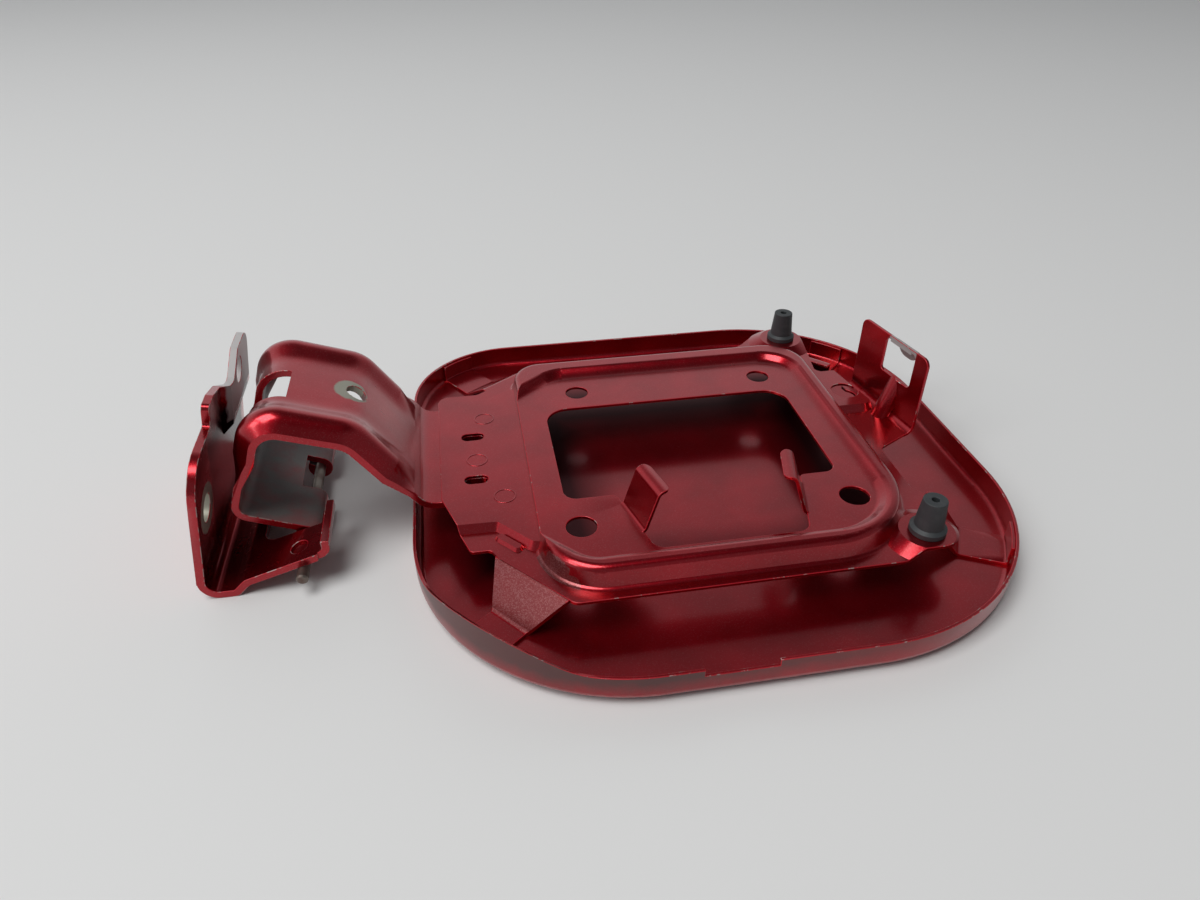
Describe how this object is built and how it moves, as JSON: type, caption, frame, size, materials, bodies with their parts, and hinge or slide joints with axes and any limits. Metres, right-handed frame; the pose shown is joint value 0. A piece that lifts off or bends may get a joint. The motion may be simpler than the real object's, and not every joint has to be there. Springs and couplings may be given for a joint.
{
  "type": "car fuel door",
  "caption": "Car fuel filler door with a crowned outer skin, pressed inner panel, striker plate, rubber stops and a gooseneck hinge arm pinned to a bolt-on hinge base.",
  "frame": {"origin": "on the table plane under the middle of the whole object's footprint, with the door lying on its outer face", "axes": "+X from the hinge base towards the latch end, +Y along the hinge pin, +Z away from the outer face, into the car"},
  "size_m": [0.2148, 0.155, 0.0454],
  "materials": {
    "outer_panel": "gloss metallic red",
    "inner_panel": "gloss metallic red",
    "hinge_arm": "gloss metallic red",
    "hinge_base": "gloss metallic red",
    "hinge_pin": "dull steel",
    "bumper_front": "matt charcoal",
    "bumper_rear": "matt charcoal"
  },
  "bodies": {
    "door": {"outer_panel": "outer_panel", "inner_panel": "inner_panel", "hinge_arm": "hinge_arm", "bumper_front": "bumper_front", "bumper_rear": "bumper_rear"},
    "hinge_base": {"hinge_base": "hinge_base", "hinge_pin": "hinge_pin"}
  },
  "joints": [
    {"name": "hinge", "type": "hinge", "parent": "door", "child": "hinge_base", "pos_m": [-0.08178, 0, 0.0056], "axis": [0, -1, 0], "range_deg": [0, 75]}
  ]
}
